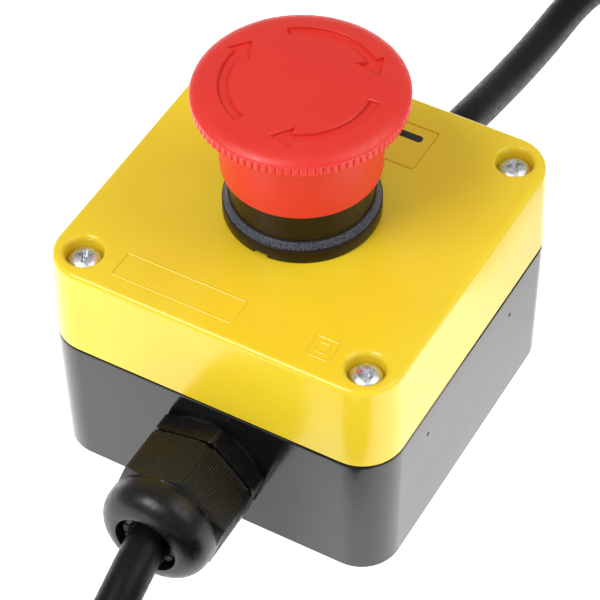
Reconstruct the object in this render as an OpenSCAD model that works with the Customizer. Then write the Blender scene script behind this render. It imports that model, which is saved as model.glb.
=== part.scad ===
// Emergency stop button in a surface-mounted case, with a mains lead in and a mains lead out.
// Origin: the middle of the case's underside. +X runs along the lid's legend, +Z is up.
// All sizes are in millimetres.

/* [Case] */
// Width of the case along X and Y, at the joint between base and lid
case_w = 73; // [72:0.5:76]
// Height of the base, up to the joint
base_h = 31; // [31:0.5:33]
// Height of the whole case, without the button
case_h = 51.2; // [51:0.1:53]
// Radius of the case's vertical corners
corner_r = 8.4; // [7:0.1:9]
// How far each side leans in from the joint to the top or the bottom
draft = 0.45; // [0.1:0.05:0.6]
// Thickness of the walls, the floor and the top
wall = 2.5; // [2:0.1:2.8]
// Distance of the lid screws from the middle, along X and along Y
screw_at = 29.5; // [29:0.1:30]
// Radius of the wells that the lid screws sit in
well_r = 4.1; // [3.6:0.1:4.3]
// Distance of the mounting holes from the middle along X
mount_x = 27; // [26:0.5:27]
// Distance of the mounting holes from the middle along Y
mount_y = 19; // [17:0.5:20]
// Radius of the mounting holes in the floor
mount_r = 2.15; // [1.7:0.05:2.3]

/* [Button] */
// Radius of the mushroom head
head_r = 20; // [19:0.5:22]
// Radius of the head's skirt
skirt_r = 15.2; // [15:0.1:16]
// Travel of the head from released to latched
press_travel = 5.5; // [3:0.5:5.5]
// Height of the skirt's lower edge above the case's underside
skirt_z = 63.1; // [63:0.1:64]
// Height of the knurled rim's lower edge above the case's underside
rim_z = 78.3; // [78:0.1:79]
// Number of ribs around the rim
rim_ribs = 88; // [48:2:96]
// Radius of the bezel's flange
bezel_r = 15; // [14.8:0.1:16]
// Radius of the operator's threaded barrel
barrel_r = 11; // [10.9:0.05:11.1]

/* [Glands and leads] */
// Height of the cable glands' axis above the case's underside
gland_z = 15.5; // [15:0.1:16]
// Width across the flats of the gland's hexagons
gland_af = 22; // [21:0.5:23]
// Diameter of the round mains leads
lead_d = 8; // [7.6:0.1:8]
// Radius at the middle of the coiled lead's turns
coil_r = 40; // [40:0.5:42]

/* [Hidden] */
$fn = 64;
eps = 0.01;
half = case_w / 2;
inner_half = half - wall;
inner_corner = corner_r - wall;
joint_gap = 0.2;
base_top = base_h - joint_gap;
lid_bottom = base_h + joint_gap;
lid_under = case_h - wall;

// Lid screws
screw_r = 1.45;
screw_seat = case_h - 3.2;
screw_head_r = 3.1;
screw_head_h = 2.2;
screw_tip = 13;
post_r = 4.5;

// Gasket groove in the base's rim
groove_in = half - 1.75;
groove_out = half - 0.85;
groove_h = 1;

// Operator heights, from the bottom up
foot_z = 35.5;
foot_h = 2;
ledge_z = 38.5;
ledge_h = 2;
flange_z = 52;
flange_h = 5;
barrel_z = 33;
bezel_under = case_h + 0.9;
bezel_top = case_h + 4.7;
cam_z = 57.6;
cam_h = 5.9;
pin_z = 60.5;
neck_z = 63.7;
body_top = 67;
sleeve_r = 13.6;
bore_r = 9;
stem_r = 6.4;
spindle_r = 3;
twist = 30;
rim_h = 2.4;
crown_z = rim_z + rim_h + 2.1;
nut_h = 4;

// Contact blocks, which lie side by side under the operator
block_y = 5.3;
block_l = 30;
block_w = 10;
block_z = 10;
block_h = 19;
chamber_w = 6.8;
chamber_floor = block_z + 1.5;
bridge_z = 20.15;
bridge_h = 0.6;
strip_z = 21.2;
strip_h = 1;
stem_w = 4.8;
stem_y = 6;
terminal_x = 12.6;
terminal_y = -1.2;
clamp_z = 24.85;

// Cable glands, measured outwards along their own axis from the middle of the case
hex_r = gland_af / sqrt(3);
hex_turn = 12.4;
spigot_r = 9.3;
front_thread_r = 8.9;
gland_bore = 4.6;
seal_r = 6.1;
mouth_r = 6.4;
spigot_end = 27.5;
hex_from = half + 0.7;
hex_to = half + 4.7;
nut_from = half + 5;
nut_hex_to = half + 15.3;
nut_end = half + 23.2;
dome_r = 11.2;
dome_round = 4.6;
cord_start = nut_end - 1.7;
sheath_end = 25;

// Leads
lead_r = lead_d / 2;
core_r = 1.3;
coil_half_w = lead_d;
coil_h = 2 * lead_d;
coil_at = [44, -104];
lead_sides = 10;
core_sides = 8;
tie_w = 12;
tie_h = 1;
tie_gap = 0.6;

// Stretch of the supply lead from its gland to the coil, lying down on the floor
supply_run = [[0, -cord_start, gland_z], [0.3, -62, 15.1], [0.6, -66, 14.2], [0.9, -71, 12.5],
    [1, -77, 10.1], [0.9, -84, 7.4], [0.5, -91, 5.3], [0.2, -98, 4.25], [0, -104, 4.05]];
// Stretch of the supply lead from the top of the coil to the plug that lies on it
supply_tail = [[7.1, -80, 13.5], [3, -88, 15.6], [0.7, -96, 18.2], [0.3, -104.5, 21.2], [2.3, -112.8, 24.4],
    [6.4, -120.2, 27.5], [12.2, -126.3, 30.3], [19.5, -130.7, 32.6], [27.6, -133.1, 34.1],
    [32.6, -133.5, 34.6]];
// The whole outlet lead, from its gland around one bend to the coupling socket
outlet_run = [[0, cord_start, gland_z], [0, 62, 15.3], [0, 67, 14.6], [0, 73, 13.2], [-0.1, 82, 10.9],
    [-0.2, 93, 8.4], [-0.3, 105, 6.2], [-0.4, 114, 5], [-0.3, 122, 4.4], [0.8, 130.4, 4.1],
    [4, 138.2, 4.05], [9.2, 145, 4.05], [15.9, 150.1, 4.05], [23.8, 153.4, 4.05], [32.2, 154.5, 4.1],
    [39.5, 154.5, 4.4], [47.9, 153.4, 5.3], [55.8, 150.1, 6.9], [62.5, 145, 9.2], [67.6, 138.2, 12],
    [70.9, 130.4, 15.1], [72, 122, 18.2], [72, 114, 20.6], [72, 107, 21.8], [72, 101, 22.05]];

// Leads inside the case, from the end of each sheath to the terminals
brown_in = [[1.2, -25, 17], [1.2, -23.6, 17], [3.2, -19.8, 18], [10, -16.5, 20.5], [18, -14, 22.6], [22.5, -9, 23.5],
    [20, -3.9, 23.5], [14, -3.4, 23.5]];
blue_in = [[1.4, -25, 14.3], [1.4, -23.6, 14.3], [6, -20, 14.5], [16, -18, 15], [25, -12, 17.5], [27, -2, 21],
    [24.5, 5.5, 23.3], [19, 7.3, 23.5], [14, 7.2, 23.5]];
brown_out = [[-1.3, 25, 17], [-1.3, 23.6, 17], [-4.4, 20, 17.5], [-13, 17.5, 18], [-22, 13, 19.2], [-26, 5, 21],
    [-24.5, -1.5, 22.9], [-19.5, -3.4, 23.5], [-14, -3.4, 23.5]];
blue_out = [[1.4, 25, 16.6], [1.4, 23.6, 16.6], [-0.8, 20.2, 20.2], [-8, 19, 22.2], [-17, 17.5, 23.2],
    [-22.5, 12.8, 23.5], [-20, 7.7, 23.5], [-14, 7.2, 23.5]];
earth_in = [[-1.6, -25, 15], [-1.6, -23.6, 15], [-2.8, -20.2, 12.6], [-3.2, -16, 8.6],
    [-3, -11.5, 6.3], [-3, -7.5, 6.2]];
earth_out = [[-0.4, 25, 13.6], [-0.4, 23.6, 13.6], [-1.8, 20.2, 12], [-3, 16, 8.6], [-3, 11.5, 6.3], [-3, 7.5, 6.2]];
splice_r = 2.4;
splice_l = 17;
splice_at = [-3, 0, 6.2];

// Mains plug, measured from the back of its bend relief
plug_at = [32.6, -133.5, 34.6];
plug_r = 18.5;
plug_l = 50;
pin_r = 2.4;
pin_root_r = 2.1;
pin_l = 19;
pin_half_spacing = 9.5;
clip_w = 7;

// Coupling socket, measured from the back of its bend relief
socket_at = [72, 101, 22.05];
socket_r = 22;
socket_l = 66;
recess_r = 19.3;
recess_depth = 17.5;

// ---- Shapes that several pieces share ----

// Rounded square, made of true arcs
module rounded_square(h, r) {
    square([2 * h, 2 * (h - r)], center = true);
    square([2 * (h - r), 2 * h], center = true);
    for (x = [-1, 1], y = [-1, 1])
        translate([x * (h - r), y * (h - r)]) circle(r);
}

// Thin slice of the case's outline at height z
module slice(h, r, z) {
    translate([0, 0, z]) linear_extrude(0.01) rounded_square(h, r);
}

// Places a child at each corner screw
module at_screws() {
    for (x = [-1, 1], y = [-1, 1])
        translate([x * screw_at, y * screw_at, 0]) children();
}

// Tube along Z
module tube(outer, inner, h) {
    difference() {
        cylinder(r = outer, h = h);
        translate([0, 0, -eps]) cylinder(r = inner, h = h + 2 * eps);
    }
}

// Upright block centred on X and Y
module block(size, z) {
    translate([-size[0] / 2, -size[1] / 2, z]) cube(size);
}

function unit(v) = v / norm(v);

// Point on the smooth curve through four neighbouring route points
function curve_point(a, b, c, d, t) =
    0.5 * (2 * b + (c - a) * t + (2 * a - 5 * b + 4 * c - d) * t * t
    + (3 * b - a - 3 * c + d) * t * t * t);

// Route with steps extra points between neighbours
function smooth(points, steps) = [
    for (i = [0:len(points) - 2], k = [0:steps - 1])
        curve_point(points[max(i - 1, 0)], points[i], points[i + 1],
            points[min(i + 2, len(points) - 1)], k / steps),
    points[len(points) - 1]
];

// Direction of a route at its point i
function heading(p, i) = unit(p[min(i + 1, len(p) - 1)] - p[max(i - 1, 0)]);

// Ring of points around a route's point, square to its direction
function ring(centre, dir, side, r, n) =
    let (up = unit(cross(side, dir)), across = unit(cross(dir, up)))
    [for (k = [0:n - 1]) centre + r * (cos(360 * k / n) * up + sin(360 * k / n) * across)];

// Solid of round section that follows a route; side is roughly square to the route
module sweep(p, r, n, side = [1, 0, 0]) {
    last = len(p) - 1;
    rings = [for (i = [0:last]) each ring(p[i], heading(p, i), side, r, n)];
    walls = [for (i = [0:last - 1], k = [0:n - 1])
        [i * n + k, i * n + (k + 1) % n, (i + 1) * n + (k + 1) % n, (i + 1) * n + k]];
    caps = [[for (k = [n - 1:-1:0]) k], [for (k = [0:n - 1]) last * n + k]];
    polyhedron(rings, concat(walls, caps), convexity = 8);
}

// Compression spring along Z with its lowest turn at z
module spring(r, wire_r, z, h, turns) {
    steps = 10;
    count = turns * steps;
    helix = [for (i = [0:count]) [r * cos(360 * i / steps), r * sin(360 * i / steps),
        z + wire_r + (h - 2 * wire_r) * i / count]];
    sweep(helix, wire_r, 6, [0, 0, 1]);
}

// ---- Case ----

module base() {
    color("#232527") difference() {
        union() {
            difference() {
                hull() {
                    slice(half - draft - 0.5, corner_r - 0.9, 0);
                    slice(half - draft, corner_r - 0.4, 0.5);
                    slice(half, corner_r, base_top - eps);
                }
                translate([0, 0, wall]) linear_extrude(base_h)
                    rounded_square(inner_half, inner_corner);
            }
            at_screws() translate([0, 0, wall / 2]) cylinder(r = post_r, h = base_top - wall / 2);
            for (x = [-1, 1], y = [-1, 1])
                translate([x * mount_x, y * mount_y, wall / 2]) cylinder(r = 4.2, h = wall / 2 + 1.2);
        }
        at_screws() translate([0, 0, screw_tip - 2]) cylinder(r = 1.5, h = base_h);
        for (x = [-1, 1], y = [-1, 1])
            translate([x * mount_x, y * mount_y, -eps]) cylinder(r = mount_r, h = 3 * wall);
        translate([0, half + 1, gland_z]) rotate([90, 0, 0]) cylinder(r = 9.5, h = case_w + 2);
        translate([0, 0, base_top - groove_h]) linear_extrude(2 * groove_h) difference() {
            rounded_square(groove_out, corner_r - 0.85);
            rounded_square(groove_in, corner_r - 1.75);
        }
    }
}

// Raised outline on the lid's top, drawn as a frame of thin bars
module raised_frame(x0, y0, x1, y1) {
    line = 0.35;
    translate([x0, y0, case_h - eps]) difference() {
        cube([x1 - x0, y1 - y0, 0.2]);
        translate([line, line, -1]) cube([x1 - x0 - 2 * line, y1 - y0 - 2 * line, 3]);
    }
}

module lid() {
    tongue = inner_half - 0.3;
    color("#f0c419") difference() {
        union() {
            difference() {
                hull() {
                    slice(half, corner_r, lid_bottom);
                    slice(half - draft, corner_r - 0.4, case_h - 1);
                    slice(half - draft - 0.3, corner_r - 0.7, case_h - 0.3);
                    slice(half - draft - 1, corner_r - 1.4, case_h - eps);
                }
                translate([0, 0, lid_bottom - 1]) linear_extrude(lid_under - lid_bottom + 1)
                    rounded_square(inner_half, inner_corner);
            }
            at_screws() translate([0, 0, lid_bottom]) cylinder(r = 5.2, h = case_h - lid_bottom - 1);
            difference() {
                translate([0, 0, base_h - 2]) linear_extrude(4) difference() {
                    rounded_square(tongue, inner_corner - 0.3);
                    rounded_square(tongue - 1.4, inner_corner - 1.7);
                }
                at_screws() translate([0, 0, base_h - 3]) cylinder(r = post_r + 0.4, h = 3 + joint_gap);
            }
            difference() {
                translate([0, 0, base_h + 1]) linear_extrude(2)
                    rounded_square(inner_half + 0.5, inner_corner + 0.5);
                translate([0, 0, base_h]) linear_extrude(4)
                    rounded_square(tongue - 1.4, inner_corner - 1.7);
            }
            raised_frame(-22.4, -32.2, 3.5, -25.8);
            raised_frame(17.9, -31.8, 23.2, -26.5);
            raised_frame(19.15, -30.55, 21.95, -27.75);
        }
        at_screws() translate([0, 0, screw_seat]) cylinder(r = well_r, h = 5);
        at_screws() translate([0, 0, lid_bottom - 1]) cylinder(r = 1.7, h = case_h);
        translate([0, 0, lid_under - 1]) cylinder(r = barrel_r + 0.2, h = 5);
        translate([-13.7, 18.15, case_h - 0.3]) cube([27.4, 11.05, 1]);
    }
}

module lid_gasket() {
    color("#1c1c1c") translate([0, 0, base_top - groove_h + 0.05])
        linear_extrude(groove_h + 2 * joint_gap - 0.1) difference() {
            rounded_square(groove_out - 0.05, corner_r - 0.9);
            rounded_square(groove_in + 0.05, corner_r - 1.7);
        }
}

// Pan head with a cross recess, seated at z
module cross_screw(head, head_h, shank, shank_l, z) {
    recess = head * 1.1;
    translate([0, 0, z]) difference() {
        rotate_extrude() polygon(concat([[0, head_h]],
            [for (a = [80:-20:20]) [head * cos(a), 0.45 * head_h + 0.55 * head_h * sin(a)]],
            [[head, 0.4 * head_h], [head, 0], [shank, 0], [shank, -shank_l + 1],
            [0.3 * shank, -shank_l], [0, -shank_l]]));
        for (a = [0, 90]) rotate(a) block([recess, head * 0.28, head_h], head_h * 0.4);
    }
}

module lid_screws() {
    color("#c6cacd") at_screws()
        rotate(25) cross_screw(screw_head_r, screw_head_h, screw_r, screw_seat - screw_tip, screw_seat);
}

module legend_label() {
    color("#ecbc1c") translate([-13.5, 18.35, case_h - 0.29]) cube([27, 10.65, 0.24]);
}

// ---- Operator: the button and its actuator ----

// One of the head's three clockwise arrows, sunk into the crown
module turn_arrow() {
    mid = 13.95;
    thick = 1.7;
    barb = 2.4;
    translate([0, 0, crown_z - 1.1]) {
        rotate_extrude(angle = 76) translate([mid - thick / 2, 0]) square([thick, 3]);
        linear_extrude(3) polygon([[mid - barb, 0.2], [mid + barb, 0.2], [mid - 0.1, -3.6]]);
    }
}

module mushroom_head() {
    rib_a = 360 / rim_ribs;
    rim_top = rim_z + rim_h;
    color("#e0342b") difference() {
        rotate_extrude() polygon([[0, 76], [14, 76], [14, skirt_z], [skirt_r - 0.1, skirt_z],
            [skirt_r + 0.3, rim_z - 1.2], [skirt_r + 1, rim_z - 0.4], [head_r - 0.8, rim_z],
            [head_r - 0.1, rim_z + 0.4], [head_r, rim_z + 0.8], [head_r, rim_top],
            [head_r - 0.35, rim_top + 0.55], [head_r - 1.1, rim_top + 1], [head_r - 2.4, rim_top + 1.4],
            [head_r - 6, rim_top + 1.75], [10, rim_top + 1.95], [5, crown_z - 0.04], [0, crown_z]]);
        for (i = [0:rim_ribs - 1]) rotate(i * rib_a)
            translate([head_r + 0.15, 0, rim_z - 1]) cylinder(r = 0.45, h = rim_h + 0.9, $fn = 4);
        for (a = [0, 120, 240]) rotate(a + 52.5) turn_arrow();
        translate([0, 0, 70]) cylinder(r = spindle_r + 0.02, h = 9.1);
    }
    color("#e0342b") translate([0, 0, 73.2]) tube(5.5, spindle_r + 0.02, 2.81);
}

module spindle() {
    color("#b9bdc0") difference() {
        translate([0, 0, 45]) cylinder(r = spindle_r, h = 34);
        translate([-5, 0, pin_z]) rotate([0, 90, 0]) cylinder(r = 0.95, h = 10);
    }
}

module latch_pin() {
    color("#8f9396") translate([-7.4, 0, pin_z]) rotate([0, 90, 0]) cylinder(r = 0.9, h = 14.8);
}

// Fixed sleeve whose windows guide the latch pin
module latch_cam() {
    color("#e9e6da") translate([0, 0, cam_z]) difference() {
        tube(bore_r - 0.05, 4, cam_h);
        for (a = [0, 180]) rotate(a - twist - 17) translate([0, 0, -1])
            rotate_extrude(angle = twist + 34) translate([3.5, 0]) square([4.3, 5.4]);
    }
}

module lip_seal() {
    color("#2a2a2a") translate([0, 0, 65.1]) tube(5.9, spindle_r + 0.07, 1.5);
}

module operator_body() {
    color("#1d1e20") difference() {
        union() {
            translate([0, 0, barrel_z]) cylinder(r = barrel_r, h = 20);
            translate([0, 0, bezel_under]) cylinder(r = 11.9, h = 5);
            translate([0, 0, bezel_top + 0.05]) cylinder(r = sleeve_r, h = body_top - bezel_top - 0.05);
        }
        translate([0, 0, barrel_z - 1]) cylinder(r = bore_r, h = ledge_z - barrel_z + 1);
        translate([0, 0, ledge_z - 1]) cylinder(r = stem_r + 0.3, h = ledge_h + 2);
        translate([0, 0, ledge_z + ledge_h]) cylinder(r = bore_r, h = neck_z - ledge_z - ledge_h);
        translate([0, 0, neck_z - 1]) cylinder(r = spindle_r + 0.4, h = 5);
        translate([0, 0, 65]) cylinder(r = 5.95, h = 5);
        for (z = [barrel_z + 1:1.5:case_h - wall - 1]) translate([0, 0, z])
            rotate_extrude() polygon([[barrel_r - 0.5, 0.4], [barrel_r + 1, -0.1], [barrel_r + 1, 0.9]]);
    }
}

module bezel_ring() {
    color("#1a1b1c") difference() {
        rotate_extrude() polygon([[11.95, bezel_under], [14.3, bezel_under],
            [14.3, case_h + 0.05], [bezel_r - 0.2, case_h + 0.05], [bezel_r, case_h + 0.3],
            [bezel_r, case_h + 3], [bezel_r - 0.25, case_h + 3.25], [sleeve_r + 0.1, bezel_top],
            [11.95, bezel_top]]);
        rotate(-92) translate([14.4, -1.5, case_h]) cube([2, 3, 1]);
    }
}

module panel_gasket() {
    color("#262626") translate([0, 0, case_h]) tube(14, 11.3, 0.85);
}

module operator_nut() {
    color("#3a3c3f") translate([0, 0, lid_under - nut_h - 0.05]) difference() {
        union() {
            cylinder(r = 15.4, h = nut_h, $fn = 6);
            translate([0, 0, nut_h - 1]) cylinder(r = 14.6, h = 1);
        }
        translate([0, 0, -1]) cylinder(r = barrel_r + 0.05, h = nut_h + 2);
    }
}

module plunger() {
    color("#d8d4c4") difference() {
        union() {
            translate([0, 0, foot_z + foot_h]) cylinder(r = stem_r, h = flange_z - foot_z - foot_h);
            translate([0, 0, flange_z]) cylinder(r = bore_r - 0.2, h = flange_h);
        }
        translate([0, 0, 44.9]) cylinder(r = spindle_r + 0.08, h = 20);
    }
}

module pusher_foot() {
    color("#2f6f3d") translate([0, 0, foot_z]) difference() {
        cylinder(r = 8.7, h = foot_h);
        translate([0, 0, 1]) cylinder(r = 2.5, h = 2);
    }
}

module return_spring() {
    color("#b4b8bb") spring(7.65, 0.5, ledge_z + ledge_h, flange_z - ledge_z - ledge_h, 5);
}

// ---- Contacts under the operator ----

module mount_collar() {
    top = block_z + block_h + 0.2;
    color("#4a4d50") difference() {
        union() {
            block([block_l, 23, 3], top);
            translate([0, 0, top]) cylinder(r = 14, h = 8.2);
            for (s = [-1, 1]) translate([0, s * 11.25, 0]) block([7, 1.5, 10], top - 9);
        }
        translate([0, 0, top - 1]) cylinder(r = 9.4, h = 12);
        translate([0, 0, barrel_z - 0.1]) cylinder(r = barrel_r + 0.05, h = 10);
        for (s = [-1, 1]) translate([s * 8, 0, 34.8]) rotate([0, s * 90, 0]) cylinder(r = 1.25, h = 8);
    }
}

module collar_screws() {
    color("#b9bdc0") for (s = [-1, 1]) translate([0, 0, 34.8]) rotate([0, s * 90, 0]) difference() {
        union() {
            translate([0, 0, 11.3]) cylinder(r = 1.2, h = 3.2);
            translate([0, 0, 14.1]) cylinder(r = 2.3, h = 1.6);
        }
        block([0.6, 6, 2], 15);
    }
}

module contact_block(y) {
    color("#c9352c") translate([0, y, 0]) difference() {
        block([block_l, block_w, block_h], block_z);
        block([18, chamber_w, 15], chamber_floor);
        block([stem_w + 0.4, stem_y + 0.4, block_h], block_z + 5);
        for (s = [-1, 1]) {
            translate([s * (terminal_x + 0.4), 0, 0]) block([5.2, chamber_w, block_h], block_z + 5);
            translate([s * 9.5, 0, 0]) block([4, 5, strip_h + 0.1], strip_z - 0.05);
        }
    }
}

module contact_block_1() { contact_block(-block_y); }

module contact_block_2() { contact_block(block_y); }

module contact_plunger(y) {
    color("#e8e4d6") translate([0, y, 0]) difference() {
        block([stem_w, stem_y, foot_z - 19], 19);
        block([stem_w + 1, 4.1, bridge_h + 0.1], bridge_z - 0.05);
    }
}

module contact_plunger_1() { contact_plunger(-block_y); }

module contact_plunger_2() { contact_plunger(block_y); }

module contact_bridge(y) {
    color("#c79a45") translate([0, y, 0]) {
        block([16.8, 4, bridge_h], bridge_z);
        for (s = [-1, 1]) translate([s * 7, 0, bridge_z + bridge_h - eps]) cylinder(r = 1.3, h = 0.2 + eps);
    }
}

module contact_bridge_1() { contact_bridge(-block_y); }

module contact_bridge_2() { contact_bridge(block_y); }

module contact_spring(y) {
    color("#b4b8bb") translate([0, y, 0]) spring(1.9, 0.25, chamber_floor, 19 - chamber_floor, 5);
}

module contact_spring_1() { contact_spring(-block_y); }

module contact_spring_2() { contact_spring(block_y); }

// Places a child at each of the four terminals, with +X pointing out of the block
module at_terminals() {
    for (b = [-1, 1], s = [-1, 1])
        translate([0, b * block_y, 0]) mirror([s < 0 ? 1 : 0, 0, 0]) children();
}

module fixed_contacts() {
    color("#c79a45") at_terminals() difference() {
        union() {
            translate([5.7, -2.2, strip_z]) cube([9, 4.4, strip_h]);
            translate([7, 0, strip_z - 0.2]) cylinder(r = 1.3, h = 0.3);
        }
        translate([terminal_x, terminal_y, strip_z - 1]) cylinder(r = 1.25, h = 3);
    }
}

module terminal_clamps() {
    color("#a9adb0") at_terminals() difference() {
        translate([10.8, -3.1, clamp_z]) cube([4, 6.2, 0.8]);
        translate([terminal_x, terminal_y, clamp_z - 1]) cylinder(r = 1.25, h = 3);
    }
}

module terminal_screws() {
    color("#b9bdc0") at_terminals() translate([terminal_x, terminal_y, 0])
        cross_screw(1.8, 1.6, 1.2, 5.5, clamp_z + 0.8);
}

// ---- Cable glands, drawn along +Z and then laid outwards along -Y ----

module gland_place(side) {
    rotate(side < 0 ? 0 : 180) translate([0, 0, gland_z]) rotate([90, 0, 0]) children();
}

module hexagon(from, to) {
    translate([0, 0, from]) rotate(hex_turn) cylinder(r = hex_r, h = to - from, $fn = 6);
}

// Hexagon with its corners turned off at both ends
module turned_hexagon(from, to, cut) {
    intersection() {
        hexagon(from, to);
        rotate_extrude() polygon([[0, from], [hex_r - cut, from], [hex_r + 0.2, from + 0.7 * cut],
            [hex_r + 0.2, to - 0.7 * cut], [hex_r - cut, to], [0, to]]);
    }
}

module gland_body() {
    color("#1b1c1e") difference() {
        union() {
            translate([0, 0, spigot_end]) cylinder(r = spigot_r, h = hex_from - spigot_end + 1);
            turned_hexagon(hex_from, hex_to, 0.9);
            translate([0, 0, hex_to - 1]) cylinder(r = front_thread_r, h = 9);
        }
        translate([0, 0, spigot_end - 1]) cylinder(r = gland_bore, h = 30);
        translate([0, 0, hex_to + 0.8]) cylinder(r = seal_r + 0.1, h = 12);
        for (z = [spigot_end + 1:1.5:inner_half - 1]) translate([0, 0, z])
            rotate_extrude() polygon([[spigot_r - 0.5, 0.4], [spigot_r + 1, -0.1], [spigot_r + 1, 0.9]]);
    }
}

module gland_washer() {
    color("#2b2b2b") translate([0, 0, half - 0.02]) tube(11, spigot_r + 0.1, 0.7);
}

module gland_seal() {
    color("#161616") difference() {
        translate([0, 0, hex_to + 0.9]) tube(seal_r, lead_r + 0.05, cord_start - hex_to - 0.7);
        for (a = [0:30:330]) rotate(a) translate([lead_r + 0.6, -0.35, cord_start - 2.2]) cube([4, 0.7, 4]);
    }
}

module gland_nut() {
    color("#1b1c1e") difference() {
        union() {
            turned_hexagon(nut_from, nut_hex_to + 1, 1.3);
            rotate_extrude() polygon(concat([[0, nut_hex_to - 1], [dome_r, nut_hex_to - 1]],
                [for (a = [0:10:90]) [dome_r - dome_round + dome_round * cos(a),
                    nut_end - dome_round + dome_round * sin(a)]],
                [[mouth_r + 0.1, nut_end - 0.1], [mouth_r, nut_end - 0.4], [0, nut_end - 0.4]]));
        }
        translate([0, 0, nut_from - 1]) cylinder(r = front_thread_r + 0.05, h = hex_to + 9 - nut_from);
        translate([0, 0, hex_to + 7.9]) cylinder(r1 = front_thread_r, r2 = mouth_r, h = 6);
        translate([0, 0, nut_from]) cylinder(r = mouth_r, h = 30);
    }
}

module gland_locknut() {
    color("#1f2022") translate([0, 0, inner_half - 5.05]) difference() {
        rotate(30) cylinder(r = 13, h = 5, $fn = 6);
        translate([0, 0, -1]) cylinder(r = spigot_r + 0.05, h = 7);
    }
}

// Sheathed end of a lead, from inside the case to the gland's mouth
module cord_inner() {
    color("#1a1b1d") translate([0, 0, sheath_end]) cylinder(r = lead_r, h = cord_start - sheath_end);
}

module supply_gland_body() { gland_place(-1) gland_body(); }

module supply_gland_washer() { gland_place(-1) gland_washer(); }

module supply_gland_seal() { gland_place(-1) gland_seal(); }

module supply_gland_nut() { gland_place(-1) gland_nut(); }

module supply_gland_locknut() { gland_place(-1) gland_locknut(); }

module supply_cord_inner() { gland_place(-1) cord_inner(); }

module outlet_gland_body() { gland_place(1) gland_body(); }

module outlet_gland_washer() { gland_place(1) gland_washer(); }

module outlet_gland_seal() { gland_place(1) gland_seal(); }

module outlet_gland_nut() { gland_place(1) gland_nut(); }

module outlet_gland_locknut() { gland_place(1) gland_locknut(); }

module outlet_cord_inner() { gland_place(1) cord_inner(); }

// ---- Leads inside the case ----

// Smoothed route with a straight first step, so that the wire leaves its sheath squarely
function led_out(p) = concat([p[0]], smooth([for (i = [1:len(p) - 1]) p[i]], 3));

module core(route) {
    sweep(led_out(route), core_r, core_sides, [0, 0, 1]);
}

module brown_lead_in() { color("#6b3d1e") core(brown_in); }

module brown_lead_out() { color("#6b3d1e") core(brown_out); }

module blue_lead_in() { color("#2c62b0") core(blue_in); }

module blue_lead_out() { color("#2c62b0") core(blue_out); }

module earth_leads() {
    color("#7fb040") {
        sweep(led_out(earth_in), core_r, core_sides);
        sweep(led_out(earth_out), core_r, core_sides);
    }
}

module earth_splice() {
    color("#d9c24a") translate(splice_at + [0, splice_l / 2, 0]) rotate([90, 0, 0])
        tube(splice_r, core_r + 0.05, splice_l);
}

// ---- Free leads, their coils and their connectors ----

module supply_cord() {
    color("#17181a") {
        sweep(supply_run, lead_r, lead_sides);
        sweep(supply_tail, lead_r, lead_sides);
    }
}

module outlet_cord() { color("#17181a") sweep(outlet_run, lead_r, lead_sides); }

// Outer shape of a coil of two layers and two turns side by side
module supply_coil() {
    color("#17181a") translate([coil_at[0], coil_at[1], 0]) rotate_extrude() union() {
        translate([coil_r - coil_half_w, lead_r]) square([2 * coil_half_w, lead_d]);
        translate([coil_r - lead_r, 0]) square([lead_d, coil_h]);
        for (x = [-1, 1], z = [lead_r, coil_h - lead_r]) translate([coil_r + x * lead_r, z]) circle(lead_r);
    }
}

// Hook-and-loop band around one side of the coil
module coil_tie() {
    color("#2a2a2c") translate([coil_at[0] + coil_r, coil_at[1], 0]) difference() {
        block([2 * (coil_half_w + tie_gap + tie_h), tie_w, coil_h + tie_h], 0);
        block([2 * (coil_half_w + tie_gap), tie_w + 2, coil_h + 1 + 0.05], -1);
    }
}

// Lays a connector that is drawn along +Z so that it points along Y, turned by heading about Z
module connector_place(at, heading) {
    translate(at) rotate([0, 0, heading]) rotate([-90, 0, 0]) children();
}

// Ribbed bend relief and tapering shell of a connector, with a full-width front of length front
module connector_shell(r, length, front) {
    ribs = 5;
    union() {
        rotate_extrude() polygon([[0, 0], [lead_r + 1.6, 0], [lead_r + 3.2, 22], [r - 6, 28],
            [r - 5.5, length - front - 5], [r - 0.8, length - front - 1], [r, length - front],
            [r, length - 0.8], [r - 0.8, length], [0, length]]);
        for (i = [0:ribs - 1]) translate([0, 0, 2 + 3.6 * i]) cylinder(r = lead_r + 2.6 + 0.3 * i, h = 1.8);
    }
}

module plug_body() {
    color("#1a1b1d") connector_place(plug_at, -90) difference() {
        connector_shell(plug_r, plug_l, 13);
        for (s = [-1, 1]) {
            translate([s * pin_half_spacing, 0, plug_l - 8]) cylinder(r = pin_root_r + 0.02, h = 9);
            translate([-clip_w / 2 - 0.6, s * (plug_r + 0.4) - 2.5, plug_l - 13]) cube([clip_w + 1.2, 5, 14]);
        }
    }
}

module plug_pins() {
    color("#c9c4b4") connector_place(plug_at, -90) for (s = [-1, 1])
        translate([s * pin_half_spacing, 0, plug_l - 8]) {
            cylinder(r = pin_root_r, h = 8.1);
            translate([0, 0, 8]) cylinder(r = pin_r, h = pin_l - pin_r);
            translate([0, 0, 8 + pin_l - pin_r]) sphere(pin_r);
        }
}

module plug_earth_clips() {
    color("#c9c4b4") connector_place(plug_at, -90) for (s = [-1, 1])
        translate([-clip_w / 2, s > 0 ? plug_r - 2 : 1.1 - plug_r, plug_l - 12.9]) cube([clip_w, 0.9, 12.7]);
}

module socket_body() {
    color("#1a1b1d") connector_place(socket_at, 180) difference() {
        connector_shell(socket_r, socket_l, 31);
        translate([0, 0, socket_l - recess_depth - 8]) cylinder(r = recess_r, h = recess_depth + 9);
    }
}

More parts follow.
